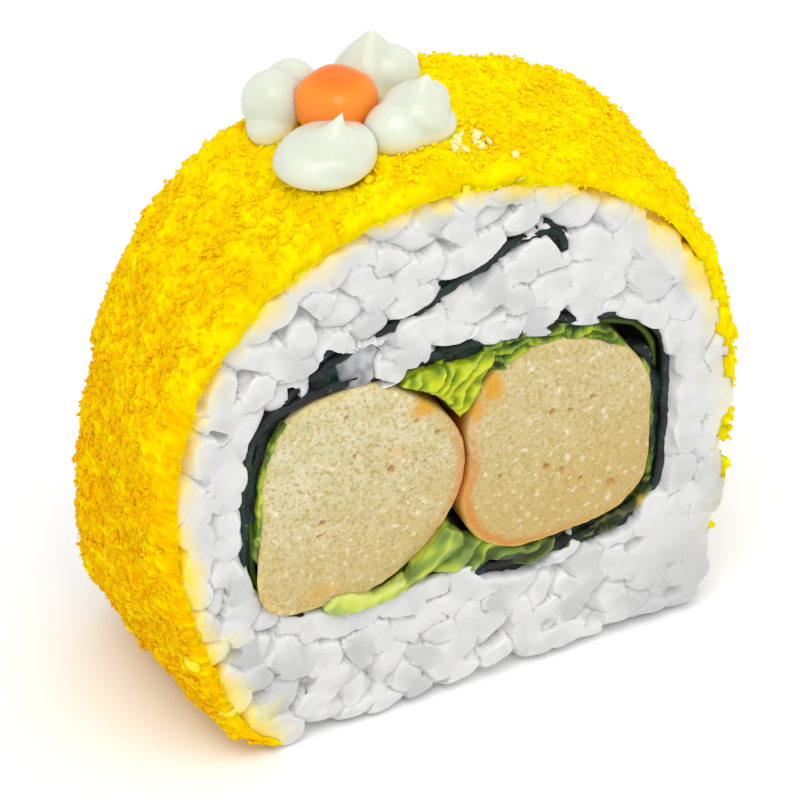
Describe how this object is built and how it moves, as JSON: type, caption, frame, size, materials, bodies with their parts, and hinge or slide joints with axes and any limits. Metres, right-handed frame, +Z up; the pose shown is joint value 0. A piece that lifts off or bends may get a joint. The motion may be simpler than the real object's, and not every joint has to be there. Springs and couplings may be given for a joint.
{
  "type": "sushi roll slice",
  "caption": "Thick slice of inside-out sushi roll in yellow crumb, with nori, lettuce and soft fillings, topped with a piped cream flower.",
  "frame": {"origin": "middle of the flat base, on the surface that the slice rests on", "axes": "+Z up through the top of the slice, -Y out of the near cut face, +X to the right as that face is looked at"},
  "size_m": [0.0568, 0.0265, 0.0581],
  "materials": {
    "rice": "moist boiled rice, white and slightly see-through",
    "nori": "dark damp seaweed sheet",
    "lettuce": "fresh wet leaf",
    "filling": "soft pale beige, finely speckled",
    "coating": "fine bright yellow crumb",
    "cream": "glossy piped cream",
    "sauce": "glossy orange sauce"
  },
  "bodies": {
    "root": {"rice": "rice", "nori": "nori", "lettuce": "lettuce", "filling_left": "filling", "filling_right": "filling", "coating": "coating", "cream_front": "cream", "cream_right": "cream", "cream_left": "cream", "cream_back": "cream", "sauce_drop": "sauce"}
  },
  "joints": []
}
